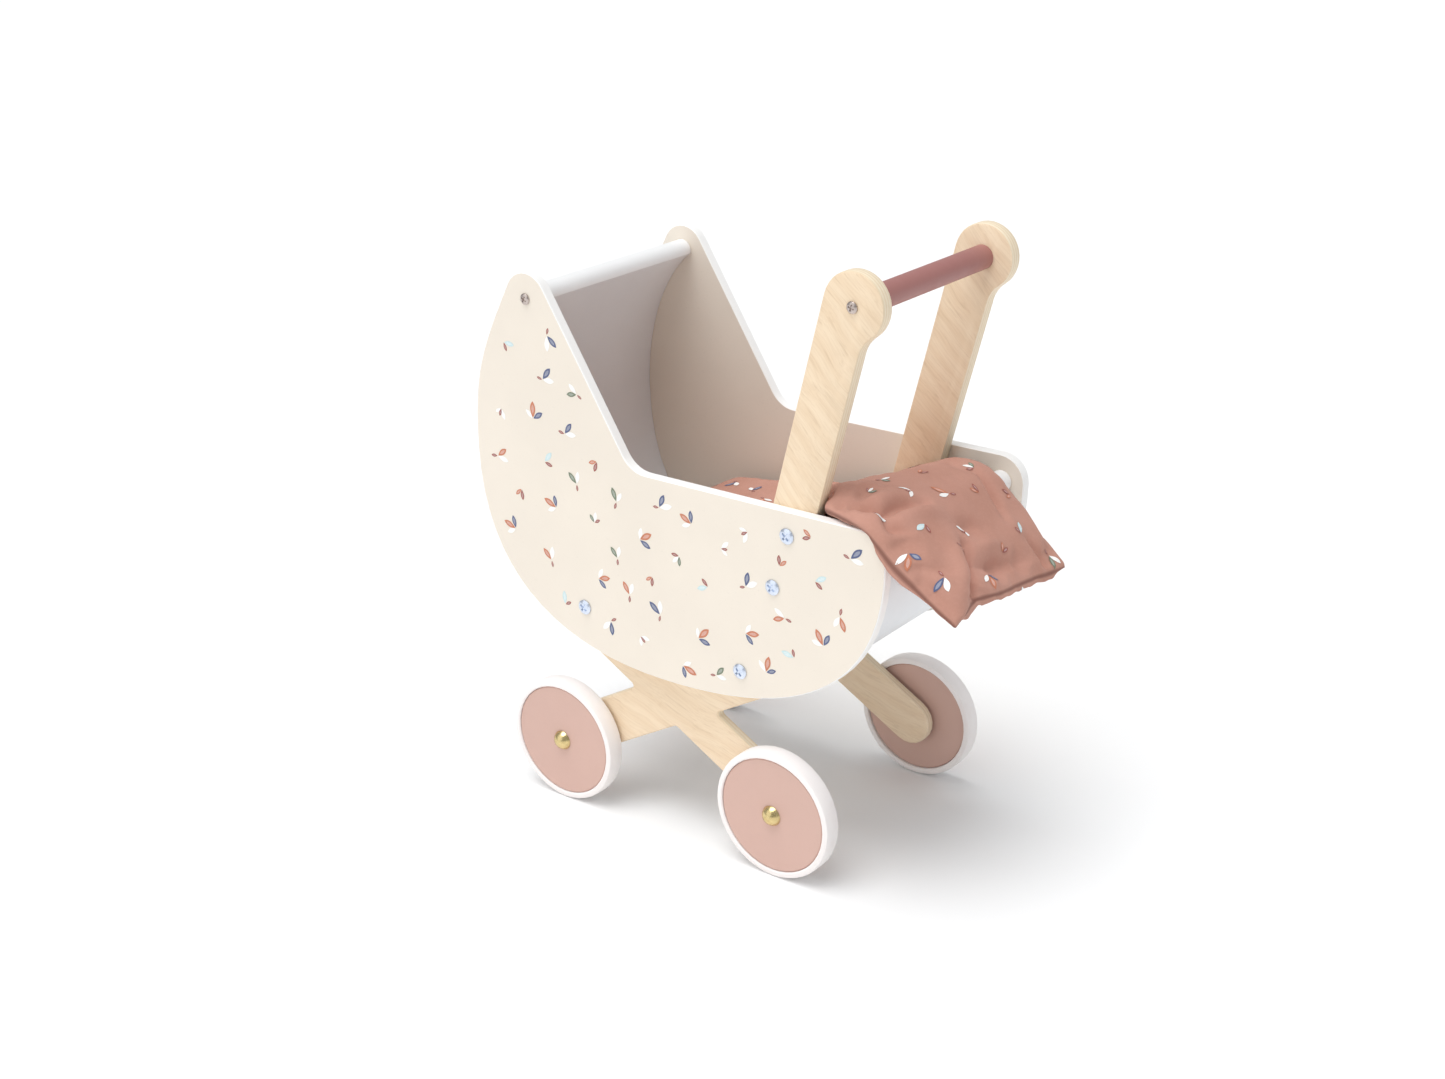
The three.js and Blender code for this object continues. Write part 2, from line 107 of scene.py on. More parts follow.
wall_shading = smooth_walls(math.radians(33))
for obj in nodes.values():
    obj.modifiers.new("smooth_walls", "NODES").node_group = wall_shading


# ---- node helpers ----
class Finish:
    """A node material with short calls for the pieces of a procedural surface."""

    def __init__(self, name, roughness=0.5, metallic=0.0, **sockets):
        self.material = bpy.data.materials.new(name)
        self.material.use_nodes = True
        self.tree = self.material.node_tree
        self.shader = self.tree.nodes["Principled BSDF"]
        self.shader.inputs["Roughness"].default_value = roughness
        self.shader.inputs["Metallic"].default_value = metallic
        for key, value in sockets.items():
            self.shader.inputs[key.replace("_", " ")].default_value = value

    def node(self, kind, **inputs):
        n = self.tree.nodes.new(kind)
        for key, value in inputs.items():
            self.plug(n.inputs[key.replace("_", " ")], value)
        return n

    def plug(self, socket, value):
        if isinstance(value, bpy.types.NodeSocket):
            self.tree.links.new(value, socket)
        else:
            socket.default_value = value

    def place(self, scale=(1, 1, 1), rotation=(0, 0, 0)):
        local = self.node("ShaderNodeTexCoord").outputs["Object"]
        m = self.node("ShaderNodeMapping", Vector=local)
        m.inputs["Scale"].default_value = scale
        m.inputs["Rotation"].default_value = rotation
        return m.outputs["Vector"]

    def noise(self, vector, scale, detail=3, rough=0.5):
        n = self.node("ShaderNodeTexNoise", Vector=vector, Scale=scale, Detail=detail)
        n.inputs["Roughness"].default_value = rough
        return n.outputs["Fac"]

    def math(self, operation, a, b=0.0):
        n = self.tree.nodes.new("ShaderNodeMath")
        n.operation = operation
        self.plug(n.inputs[0], a)
        self.plug(n.inputs[1], b)
        return n.outputs[0]

    def span(self, value, low, high, to_low=0.0, to_high=1.0):
        n = self.node("ShaderNodeMapRange", Value=value)
        n.inputs["From Min"].default_value = low
        n.inputs["From Max"].default_value = high
        n.inputs["To Min"].default_value = to_low
        n.inputs["To Max"].default_value = to_high
        return n.outputs["Result"]

    def mix(self, factor, a, b):
        n = self.tree.nodes.new("ShaderNodeMix")
        n.data_type = "RGBA"
        self.plug(n.inputs["Factor"], factor)
        self.plug(n.inputs[6], a)
        self.plug(n.inputs[7], b)
        return n.outputs[2]

    def colour(self, value):
        self.plug(self.shader.inputs["Base Color"], value)

    def rough(self, value):
        self.plug(self.shader.inputs["Roughness"], value)

    def bump(self, height, depth, strength=1.0):
        n = self.node("ShaderNodeBump", Height=height, Distance=depth, Strength=strength)
        self.plug(self.shader.inputs["Normal"], n.outputs["Normal"])


def rgb(r, g, b):
    """A linear colour from the usual 0 to 255 values."""
    def linear(v):
        v /= 255
        return v / 12.92 if v <= 0.04045 else ((v + 0.055) / 1.055) ** 2.4
    return (linear(r), linear(g), linear(b), 1.0)


# ---- painted wood ----
def facing_y(f):
    """How much a surface faces along Y, by its real facets: 1 on the flat of a board."""
    normal = f.node("ShaderNodeNewGeometry").outputs["True Normal"]
    return f.math("ABSOLUTE", f.node("ShaderNodeSeparateXYZ", Vector=normal).outputs["Y"])


def shade(colour, factor):
    return tuple(c * factor for c in colour[:3]) + (1.0,)


def painted(name, colour, rim=None, roughness=0.5, cloudy=0.015):
    """Matte paint on board: roller stipple, slow swell and tone. `rim` is the colour of the cut
    edges, which are all that doesn't face along Y."""
    f = Finish(name, roughness)
    at = f.place()
    base = f.mix(f.span(f.noise(at, 14, 3), 0.35, 0.65), shade(colour, 1 - 2 * cloudy), colour)
    fleck = f.span(f.noise(at, 420, 2), 0.66, 0.74, 0, 0.25)
    base = f.mix(fleck, base, shade(colour, 0.86))
    if rim:
        base = f.mix(f.span(facing_y(f), 0.86, 0.94), rim, base)
    f.colour(base)
    f.rough(f.span(f.noise(at, 90, 2), 0.3, 0.7, roughness - 0.05, roughness + 0.07))
    swell = f.math("MULTIPLY", f.noise(at, 60, 2), 1.6)
    f.bump(f.math("ADD", swell, f.noise(at, 1400, 2)), 0.00004, 0.5)
    return f.material


# ---- bare plywood ----
def plywood(name, angle):
    """Pale oiled ply. The grain runs at `angle` in the side view: broad drifting bands with short
    dark fibres on them. The rims show faint layers."""
    f = Finish(name, 0.5, Coat_Weight=0.05, Coat_Roughness=0.45)
    turned = f.place(rotation=(0, angle, 0))
    warp = f.node("ShaderNodeTexNoise", Vector=turned, Scale=9.0, Detail=2.0)
    bent = f.node("ShaderNodeMix")
    bent.data_type = "VECTOR"
    bent.inputs["Factor"].default_value = 0.035
    f.plug(bent.inputs[4], turned)
    f.plug(bent.inputs[5], warp.outputs["Color"])

    def along(stretch):
        m = f.node("ShaderNodeMapping", Vector=bent.outputs[1])
        m.inputs["Scale"].default_value = (stretch, 1, 1)
        return m.outputs["Vector"]

    bands = f.node("ShaderNodeTexWave", Vector=along(0.1), Scale=21.0, Distortion=9.0, Detail=3.0)
    bands.bands_direction = "Z"
    bands.inputs["Detail Scale"].default_value = 0.9
    band = f.span(bands.outputs["Fac"], 0.15, 0.95)
    fibre = f.noise(along(0.05), 620, 4, 0.62)
    stroke = f.span(f.noise(along(0.07), 300, 3, 0.7), 0.56, 0.7)
    drift = f.span(f.noise(along(0.2), 18, 2), 0.4, 0.75)
    light, mid, dark = rgb(247, 225, 195), rgb(239, 213, 180), rgb(210, 180, 144)
    grain = f.mix(f.math("MULTIPLY", band, 0.5), light, mid)
    grain = f.mix(f.math("MULTIPLY", drift, 0.25), grain, dark)
    grain = f.mix(f.span(fibre, 0.45, 0.8, 0, 0.4), grain, dark)
    grain = f.mix(f.math("MULTIPLY", stroke, 0.3), grain, rgb(196, 164, 126))

    deep = f.node("ShaderNodeSeparateXYZ", Vector=f.place()).outputs["Y"]
    layer = f.math("PINGPONG", f.math("ADD", deep, 1.0), 0.0015)
    rim = f.mix(f.span(layer, 0.0005, 0.0009), rgb(247, 233, 208), rgb(238, 219, 188))
    ends = f.span(f.noise(f.place(scale=(1, 9, 1)), 260, 3), 0.35, 0.7, 0, 0.22)
    rim = f.mix(ends, rim, rgb(218, 190, 152))
    f.colour(f.mix(f.span(facing_y(f), 0.5, 0.8), rim, grain))
    f.rough(f.span(fibre, 0.3, 0.8, 0.44, 0.6))
    f.bump(f.math("ADD", fibre, f.math("MULTIPLY", band, 0.4)), 0.00006, 0.5)
    return f.material


# ---- metals, rubber, plastic ----
def metal(name, colour, dull, roughness):
    f = Finish(name, roughness, 1.0)
    at = f.place()
    patch = f.span(f.noise(at, 240, 4, 0.6), 0.35, 0.7, 0, 0.45)
    f.colour(f.mix(patch, colour, dull))
    fine = f.noise(f.place(scale=(1, 6, 1)), 2600, 2)
    f.rough(f.span(fine, 0.3, 0.7, roughness - 0.08, roughness + 0.12))
    f.bump(fine, 0.00001, 0.4)
    return f.material


def rubber(name, colour, scuff):
    f = Finish(name, 0.62, Specular_IOR_Level=0.35)
    at = f.place()
    f.colour(f.mix(f.span(f.noise(at, 55, 4, 0.6), 0.5, 0.85, 0, 0.35), colour, scuff))
    f.rough(f.span(f.noise(at, 320, 3), 0.3, 0.7, 0.52, 0.74))
    f.bump(f.noise(at, 3200, 2), 0.00003, 0.5)
    return f.material


def satin_plastic(name, colour):
    f = Finish(name, 0.38)
    at = f.place()
    f.colour(f.mix(f.noise(at, 120, 2), colour, shade(colour, 0.95)))
    f.rough(f.span(f.noise(at, 700, 2), 0.3, 0.7, 0.32, 0.46))
    f.bump(f.noise(at, 2400, 2), 0.00001, 0.4)
    return f.material


ARM_GRAIN = math.radians(-47)
LEG_GRAIN = math.radians(-14)
finishes = {
    "painted_panel": painted("cream_paint", rgb(243, 233, 219), rgb(252, 251, 249)),
    "white_board": painted("white_paint", rgb(236, 239, 242), roughness=0.42),
    "white_dowel": painted("white_dowel_paint", rgb(246, 246, 246), roughness=0.4),
    "painted_disc": painted("rose_paint", rgb(214, 178, 165), rgb(209, 171, 158)),
    "painted_bar": painted("terracotta_paint", rgb(168, 114, 109), roughness=0.46),
    "tyre": rubber("white_rubber", rgb(251, 246, 244), rgb(242, 230, 226)),
    "washer": satin_plastic("white_nylon", rgb(243, 243, 241)),
    "brass": metal("brass", rgb(222, 202, 148), rgb(178, 154, 102), 0.24),
    "zinc": metal("zinc", rgb(222, 231, 246), rgb(186, 198, 220), 0.26),
    "screw": metal("screw_steel", rgb(204, 192, 186), rgb(146, 132, 126), 0.24),
}
wood_arm = plywood("plywood_arm", ARM_GRAIN)
wood_leg = plywood("plywood_chassis", LEG_GRAIN)
for name, obj in nodes.items():
    if slot_of[name] == "cloth":
        continue
    if slot_of[name] == "plywood":
        finish = wood_arm if name.startswith("handle") else wood_leg
    else:
        finish = finishes["screw" if "screw" in name else slot_of[name]]
    obj.data.materials.clear()
    obj.data.materials.append(finish)


# ---- leaf print ----
# Generic small sprigs of two or three leaves, laid out by a seeded scatter. Each leaf is a mesh
# that lies just off the surface it is printed on: both panels, and both sides of the duvet.
INKS = {
    "brick": rgb(158, 88, 78), "coral": rgb(201, 126, 95), "navy": rgb(88, 98, 134),
    "green": rgb(118, 130, 108), "aqua": rgb(206, 228, 231), "white": rgb(255, 254, 251),
}
SPRIGS = [  # ink, leaf length in metres, angle in degrees
    [("navy", 0.0126, 35), ("white", 0.0118, -14), ("brick", 0.0058, 150)],
    [("coral", 0.0120, 22), ("white", 0.0112, -28), ("brick", 0.0060, 168)],
    [("brick", 0.0086, 14), ("coral", 0.0080, -38)],
    [("aqua", 0.0110, 26), ("brick", 0.0074, -38)],
    [("green", 0.0106, 32), ("white", 0.0104, -20), ("brick", 0.0056, 172)],
    [("green", 0.0080, 50), ("white", 0.0082, 4), ("brick", 0.0066, -44)],
    [("coral", 0.0128, 34), ("navy", 0.0106, -22), ("white", 0.0096, 82)],
    [("white", 0.0094, 38), ("brick", 0.0064, 0), ("white", 0.0076, -40)],
]
LEAF_BULGE = 0.2  # half width over length
LEAF_ROOT = 0.07  # gap between the sprig's centre and each leaf, over length
SPRIG_SPACING = 0.0308
SPRIG_REACH = 0.015  # a panel's sprigs stay this far inside its outline
HEAD_CLEARANCE = 0.019  # and this far from the middle of a bolt or screw head
PANEL_INK_LIFT = 0.0001
CLOTH_INK_LIFT = 0.0004
SCATTER_TRIES = 9000


def leaf_outline(length, n=9):
    """One drop-shaped leaf along +X: pointed at its root, round at its end."""
    def half(t):
        return LEAF_BULGE * length * math.sin(math.pi * t ** 1.15) ** 0.8
    up = [((LEAF_ROOT + t) * length, half(t)) for t in np.linspace(0, 1, n)]
    down = [(x, -h) for x, h in up[-2:0:-1]]
    return up + down


def scatter(inside, low, high, seed):
    """Spaced points on a plane, kept where `inside` allows, in a seeded order."""
    rng = random.Random(seed)
    points = []
    for _ in range(SCATTER_TRIES):
        p = (rng.uniform(low[0], high[0]), rng.uniform(low[1], high[1]))
        far = all(math.dist(p, q) > SPRIG_SPACING for q in points)
        if far and inside(p):
            points.append(p)
    return points, rng


def ink_material(name, colour):
    f = Finish(name, 0.55)
    at = f.place()
    vein = f.span(f.noise(at, 900, 3, 0.6), 0.42, 0.62, 0, 0.3)
    f.colour(f.mix(vein, colour, tuple(min(1.0, c * 1.3 + 0.03) for c in colour[:3]) + (1.0,)))
    f.rough(f.span(f.noise(at, 900, 2), 0.3, 0.7, 0.5, 0.62))
    return f.material


ink_names = list(INKS)
ink_materials = [ink_material("ink_" + k, INKS[k]) for k in ink_names]
for k in ink_names:  # the paler middle of each leaf
    pale = tuple(c + (1 - c) * 0.22 for c in INKS[k][:3]) + (1.0,)
    ink_materials.append(ink_material("ink_pale_" + k, pale))


def mesh_piece(name, verts, faces, materials, indices=None, smooth=False):
    mesh = bpy.data.meshes.new(name)
    mesh.from_pydata([tuple(v) for v in verts], [], faces)
    for m in materials:
        mesh.materials.append(m)
    for i, poly in enumerate(mesh.polygons):
        poly.use_smooth = smooth
        if indices:
            poly.material_index = indices[i]
    mesh.update()
    obj = bpy.data.objects.new(name, mesh)
    bpy.context.scene.collection.objects.link(obj)
    return obj


def tree_of(obj):
    mesh = obj.data
    return BVHTree.FromPolygons([v.co for v in mesh.vertices], [p.vertices for p in mesh.polygons])


def sprigs(points, rng, put, lift):
    """Leaf meshes for every sprig. `put(x, y)` gives a flat point's place and normal. Each leaf is
    a dark band round a paler middle, fine enough to follow a curved surface."""
    verts, faces, indices = [], [], []
    for k, (x, y) in enumerate(points):
        turn = rng.uniform(0, 360)
        for ink, length, angle in SPRIGS[(k * 3 + rng.randrange(3)) % len(SPRIGS)]:
            length *= rng.uniform(0.9, 1.1)
            a = math.radians(turn + angle)
            ring = leaf_outline(length)
            heart = (LEAF_ROOT + 0.55) * length
            inner = [(heart + (u - heart) * 0.6, v * 0.5) for u, v in ring]
            start, m = len(verts), len(ring)
            for u, v in ring + inner + [(heart, 0.0)]:
                p, n = put(x + u * math.cos(a) - v * math.sin(a),
                           y + u * math.sin(a) + v * math.cos(a))
                verts.append(p + n * lift)
            normal = put(x, y)[1]
            colour = ink_names.index(ink)
            made = []
            for e in range(m):
                g = (e + 1) % m
                made.append(([start + e, start + g, start + m + g, start + m + e], colour))
                made.append(([start + m + e, start + m + g, start + 2 * m],
                             colour + len(ink_names)))
            p0, p1, p2 = (verts[t] for t in (start, start + 3, start + 2 * m))
            back = (p1 - p0).cross(p2 - p0).dot(normal) < 0
            for loop, index in made:
                faces.append(loop[::-1] if back else loop)
                indices.append(index)
    return verts, faces, indices


def print_panel(side, sign, seed):
    panel = nodes["side_panel_" + side]
    low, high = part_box(panel.name)
    face_y = low.y if sign < 0 else high.y
    tree = tree_of(panel)
    heads = [n for n in nodes if n.endswith(side) and ("bolt" in n or "screw" in n)]
    centres = [sum(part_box(n), Vector()) / 2 for n in heads]

    def on_face(x, z):
        start = Vector((x, face_y + sign * 0.01, z))
        return tree.ray_cast(start, Vector((0, -sign, 0)), 0.0102)[0] is not None

    def inside(p):
        ring = [(p[0] + SPRIG_REACH * math.cos(a), p[1] + SPRIG_REACH * math.sin(a))
                for a in np.linspace(0, 2 * math.pi, 14, endpoint=False)]
        clear = all(math.dist(p, (c.x, c.z)) > HEAD_CLEARANCE for c in centres)
        return clear and all(on_face(*q) for q in ring)

    points, rng = scatter(inside, (low.x, low.z), (high.x, high.z), seed)
    outward = Vector((0, sign, 0))
    verts, faces, indices = sprigs(
        points, rng, lambda x, z: (Vector((x, face_y, z)), outward), PANEL_INK_LIFT)
    piece = mesh_piece("print_" + side, verts, faces, ink_materials, indices)
    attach(piece, "frame")


print_panel("left", -1, 11)
print_panel("right", 1, 23)

# ---- duvet ----
# A stuffed pad with a seam all round its rim. It is laid out in flat coordinates first, so that the
# print and the weave follow the cloth, then blown up by a cloth simulation with its seam held.
CENTRE_X = 0.142
# Lines along the pad, each a list of (X from the hood-end axle, Y, Z) in millimetres: its left
# seam, a line that passes over the left panel's rim, and its right seam.
LEFT_SEAM = [
    (3, -77, 177), (17, -78, 207), (48, -78, 232), (96, -78, 243), (154, -77, 257),
    (204, -76, 280), (228, -77, 297), (240, -78, 305), (249, -85, 308.5), (253.5, -93, 309),
    (263, -97, 310), (273, -100, 310), (285, -103.5, 308.5), (298, -106.5, 304.5),
    (310, -108, 297), (322, -107, 286.5), (336, -105, 275), (351, -102.5, 261.5),
    (370, -99, 246.5),
]
LEFT_RIM = [
    (3, -65, 177), (17, -65, 208), (48, -65, 233), (96, -65, 245), (154, -65, 260),
    (204, -65, 283), (228, -65.5, 300.5), (240, -66, 308.5), (250, -71, 312.5), (258, -78, 314.5),
    (266, -83, 314.5), (275, -87.5, 314.5), (287, -91, 313.5), (300, -94, 310), (312, -96.5, 302),
    (324, -94.5, 291.5), (338, -92, 279.5), (353, -89.5, 266), (371, -86.5, 249.5),
]
RIGHT_SEAM = [
    (3, 77, 177), (17, 78, 207), (48, 79, 232), (96, 79, 243), (154, 77, 254),
    (200, 74, 266), (222, 72, 276), (236, 71, 283), (247, 69, 289), (256, 67, 293),
    (265, 65, 297.5), (275, 62.5, 301.5), (286, 60.5, 304), (297, 59.5, 303), (308, 59, 298),
    (320, 59.5, 287), (335, 60.5, 271.5), (350, 61, 256), (370.5, 60.5, 239.5),
]
RIM_AT = 0.07  # where LEFT_RIM lies across the width
DUVET_WIDTH = 0.178  # flat width that print, weave and folds are laid out on; the pad spans 0.159
ROWS, COLUMNS = 144, 60
PAD_HALF = 0.0058  # half thickness before it is blown up
PAD_EDGE = 0.015  # how far from the seam it reaches that thickness
STEPS = 40  # samples per stretch of a line
BED_MIDDLE, BED_SPREAD, BED_SAG = 0.19, 0.05, 0.0085  # where the pad sags in the bed, and how far
CREASE_AT, CREASE_SPREAD, CREASE_PULL = 0.22, 0.15, 0.0063  # foot seam drawn up by the main crease
FOOT_BOW = 0.0055  # foot seam drawn up between its corners
FOOT_FROM, FOOT_ZONE = 0.88, 0.12  # where along the pad that begins, and over what share of it
SEAM_WANDER, SEAM_ZONE = 0.0022, 0.15  # how far the long seams wander, and what share follows them


def curve_samples(points):
    """Dense points along a centripetal Catmull-Rom curve, as an array."""
    p = [Vector((x / 1000 - CENTRE_X, y / 1000, z / 1000)) for x, y, z in points]
    p = [2 * p[0] - p[1]] + p + [2 * p[-1] - p[-2]]
    dense = []
    for a, b, c, d in zip(p, p[1:], p[2:], p[3:]):
        t1 = (b - a).length ** 0.5
        t2 = t1 + (c - b).length ** 0.5
        t3 = t2 + (d - c).length ** 0.5
        for i in range(STEPS):
            t = t1 + (t2 - t1) * i / STEPS
            a1, a2 = a.lerp(b, t / t1), b.lerp(c, (t - t1) / (t2 - t1))
            a3 = c.lerp(d, (t - t2) / (t3 - t2))
            dense.append(a1.lerp(a2, t / t2).lerp(a2.lerp(a3, (t - t1) / (t3 - t1)),
                                                  (t - t1) / (t2 - t1)))
    return np.array(dense + [p[-2]])


lines = [curve_samples(points) for points in (LEFT_SEAM, LEFT_RIM, RIGHT_SEAM)]
gaps = sum(np.linalg.norm(np.diff(line, axis=0), axis=1) for line in (lines[0], lines[2])) / 2
run = np.concatenate([[0], np.cumsum(gaps)])
duvet_len = run[-1]
rows_at = np.linspace(0, duvet_len, ROWS + 1)
left, over_rim, right = (
    np.stack([np.interp(rows_at, run, line[:, k]) for k in range(3)], axis=1) for line in lines)
u = np.linspace(0, 1, ROWS + 1)[:, None]
v = np.linspace(0, 1, COLUMNS + 1)[None, :]


def middle_surface():
    """The pad's middle as a (ROWS + 1, COLUMNS + 1, 3) grid, and its directions: along the pad,
    across it and out of its top."""
    near = left[:, None] + (over_rim - left)[:, None] * (v[..., None] / RIM_AT)
    past_rim = (v[..., None] - RIM_AT) / (1 - RIM_AT)
    far = over_rim[:, None] + (right - over_rim)[:, None] * past_rim
    grid = np.where(v[..., None] < RIM_AT, near, far)
    for _ in range(10):
        grid[:, 1:-1] += 0.25 * (grid[:, :-2] - 2 * grid[:, 1:-1] + grid[:, 2:])
    # In the bed the pad sags between its seams.
    in_bed = np.exp(-((left[:, :1] + CENTRE_X - BED_MIDDLE) / BED_SPREAD) ** 2)
    grid[..., 2] -= BED_SAG * (in_bed * np.sin(math.pi * v) ** 0.7)
    # The stuffing draws the foot seam up between its corners, most where the main crease meets it.
    # The long seams wander a little as well.
    along, across = np.gradient(grid, axis=0), np.gradient(grid, axis=1)
    along /= np.linalg.norm(along, axis=2, keepdims=True)
    across /= np.linalg.norm(across, axis=2, keepdims=True)
    end = np.clip((u - FOOT_FROM) / FOOT_ZONE, 0, 1) ** 1.5
    crease = np.exp(-((v - CREASE_AT) / CREASE_SPREAD) ** 2)
    up = CREASE_PULL * crease + FOOT_BOW * np.sin(math.pi * v)
    grid -= along * (end * up)[..., None]
    wander = np.array([noise.noise(Vector((11 * t, 0.3, 0.7))) for t in u[:, 0]])[:, None]
    sides = np.clip(1 - v / SEAM_ZONE, 0, 1) - np.clip(1 - (1 - v) / SEAM_ZONE, 0, 1)
    grid += across * (SEAM_WANDER * wander * sides * (1 - end))[..., None]
    facing = np.cross(along, across)
    return grid, along, across, facing / np.linalg.norm(facing, axis=2, keepdims=True)


middle, along, across, facing = middle_surface()
flat_x, flat_y = v * DUVET_WIDTH + 0 * u, u * duvet_len + 0 * v
to_seam = np.minimum(np.minimum(flat_x, DUVET_WIDTH - flat_x),
                     np.minimum(flat_y, duvet_len - flat_y))
plump = np.sqrt(1 - (1 - np.clip(to_seam / PAD_EDGE, 0, 1)) ** 2)  # 0 on the seam, 1 inside

# Vertices: the whole grid for the top cloth, then the inner grid for the under cloth.
on_seam = to_seam <= 0
top_index = np.arange((ROWS + 1) * (COLUMNS + 1)).reshape(ROWS + 1, COLUMNS + 1)
under_index = top_index.copy()
under_index[~on_seam] = top_index.size + np.arange((~on_seam).sum())


def both(grid):
    """A value per grid point turned into a value per vertex."""
    return np.concatenate([grid.reshape((top_index.size,) + grid.shape[2:]), grid[~on_seam]])


middle_of, plump_of = both(middle), both(plump)
sign_of = np.concatenate([np.ones(top_index.size), -np.ones((~on_seam).sum())])
flat_xy = np.stack([both(flat_x), both(flat_y)], axis=1)
rest = middle_of + both(facing) * (sign_of * plump_of * PAD_HALF)[:, None]
faces = []
for index, step in ((top_index, 1), (under_index, -1)):
    corners = np.stack([index[:-1, :-1], index[1:, :-1], index[1:, 1:], index[:-1, 1:]], axis=-1)
    faces += corners.reshape(-1, 4)[:, ::step].tolist()
pad = mesh_piece("duvet_pad", rest.tolist(), faces, [], smooth=True)


def set_shape(obj, points):
    obj.data.vertices.foreach_set("co", points.astype(np.float32).ravel())
    obj.data.update()


def normals_of(obj):
    return np.array([tuple(n.vector) for n in obj.data.vertex_normals])


PUFF_FRAMES = 20
PUFF_LIMIT = 0.0045  # the furthest that a point may be blown out


def blow_up(obj):
    """Cloth pressure for some frames, then a cap on how far each point has moved. The cloth is cut
    larger than the pad, so that it wrinkles."""
    group = obj.vertex_groups.new(name="held")
    for i, w in enumerate(plump_of):
        group.add([i], max(0.0, 1.0 - 2.6 * float(w)), "REPLACE")
    mod = obj.modifiers.new("cloth", "CLOTH")
    s = mod.settings
    s.quality = 7
    s.mass = 0.12
    s.tension_stiffness = s.compression_stiffness = 9
    s.shear_stiffness = 3
    s.bending_stiffness = 0.5
    s.use_pressure = True
    s.uniform_pressure_force = 2.4
    s.shrink_min = -0.035
    s.vertex_group_mass = "held"
    s.pin_stiffness = 1.0
    s.effector_weights.gravity = 0
    mod.collision_settings.use_collision = False
    mod.collision_settings.use_self_collision = False
    mod.point_cache.frame_start, mod.point_cache.frame_end = 1, PUFF_FRAMES
    for i in range(1, PUFF_FRAMES + 1):
        bpy.context.scene.frame_set(i)
    dg = bpy.context.evaluated_depsgraph_get()
    moved = np.array([tuple(p.co) for p in obj.evaluated_get(dg).data.vertices])
    obj.modifiers.remove(mod)
    bpy.context.scene.frame_set(1)
    step = moved - rest
    size = np.linalg.norm(step, axis=1)
    share = np.where(size > PUFF_LIMIT, PUFF_LIMIT / np.maximum(size, 1e-9), 1.0)
    return rest + step * share[:, None]


set_shape(pad, blow_up(pad))


# Creases and swells where the cloth breaks over the foot edge and hangs. Each is a path of flat
# points (from the left seam, from the foot seam), its half width, and its depth: plus is a swell.
FOLDS = [
    ([(0.068, 0.049), (0.060, 0.037), (0.051, 0.025), (0.043, 0.011), (0.040, -0.004)],
     0.0042, -0.0165),
    ([(0.058, 0.030), (0.082, 0.021), (0.114, 0.016)], 0.0095, -0.0092),
    ([(0.056, 0.058), (0.042, 0.036), (0.026, 0.016)], 0.0088, 0.0066),
    ([(0.078, 0.043), (0.104, 0.038)], 0.0060, 0.0040),
    ([(0.078, 0.064), (0.100, 0.055)], 0.0072, -0.0060),
    ([(0.134, 0.058), (0.132, 0.030)], 0.0120, 0.0036),
    ([(0.008, 0.128), (0.020, 0.107), (0.027, 0.098), (0.042, 0.097), (0.068, 0.090)],
     0.0038, -0.0100),
    ([(0.022, 0.116), (0.036, 0.108), (0.060, 0.104)], 0.0056, 0.0046),
    ([(0.034, 0.088), (0.050, 0.086), (0.070, 0.080)], 0.0050, 0.0050),
    ([(0.023, 0.098), (0.018, 0.088), (0.028, 0.078)], 0.0036, -0.0060),
    ([(0.152, 0.096), (0.148, 0.080), (0.142, 0.067), (0.132, 0.052)], 0.0038, -0.0070),
    ([(0.150, 0.006), (0.142, 0.032)], 0.0038, -0.0066),
    ([(0.010, 0.052), (0.024, 0.036)], 0.0044, -0.0030),
    ([(0.006, 0.078), (0.026, 0.070)], 0.0040, -0.0028),
    ([(0.100, 0.156), (0.140, 0.148)], 0.0060, -0.0030),
]


def fold(path, width, depth):
    """A soft groove or swell along a path of flat points, fading at its ends."""
    best, at = np.full(len(flat_xy), 1e9), np.zeros(len(flat_xy))
    path = [np.array((x, duvet_len - y)) for x, y in path]
    for k, (a, b) in enumerate(zip(path, path[1:])):
        d = b - a
        t = np.clip(((flat_xy - a) @ d) / (d @ d), 0, 1)
        gap = np.linalg.norm(flat_xy - (a + t[:, None] * d), axis=1)
        nearer = gap < best
        best[nearer], at[nearer] = gap[nearer], ((k + t) / (len(path) - 1))[nearer]
    fade = np.sin(math.pi * np.clip(at, 0.06, 0.94)) ** 0.5
    return depth * np.exp(-(best / width) ** 2) * fade


WRINKLE = 0.0011  # height of the fine wrinkles
GATHER_TOP, GATHER_UNDER = 0.0006, 0.0001  # height of the gathers at the seam
GATHER_RATE = 330  # radians of gather per metre of cloth
UNDER_SHARE = 0.25  # how much of a fold shows on the under cloth

is_top = sign_of > 0
wrinkle = np.array([
    noise.fractal(Vector((x * 30 + y * 9, y * 17, 3.7 if top else 9.1)), 0.9, 2.1, 4)
    for (x, y), top in zip(flat_xy, is_top)])
folds = sum(fold(*f) for f in FOLDS)
offset = np.where(is_top, folds, UNDER_SHARE * folds) * np.clip(plump_of * 1.3, 0, 1)
offset += WRINKLE * wrinkle * plump_of
# Small gathers where the seam pulls the cloth.
pulled = np.where(plump_of > 0, np.clip(1.15 - plump_of, 0, 1), 0)
gather = np.sin(flat_xy.sum(axis=1) * GATHER_RATE + 9 * wrinkle)
offset += np.where(is_top, GATHER_TOP, GATHER_UNDER) * pulled * gather
shape = np.array([tuple(p.co) for p in pad.data.vertices]) + normals_of(pad) * offset[:, None]

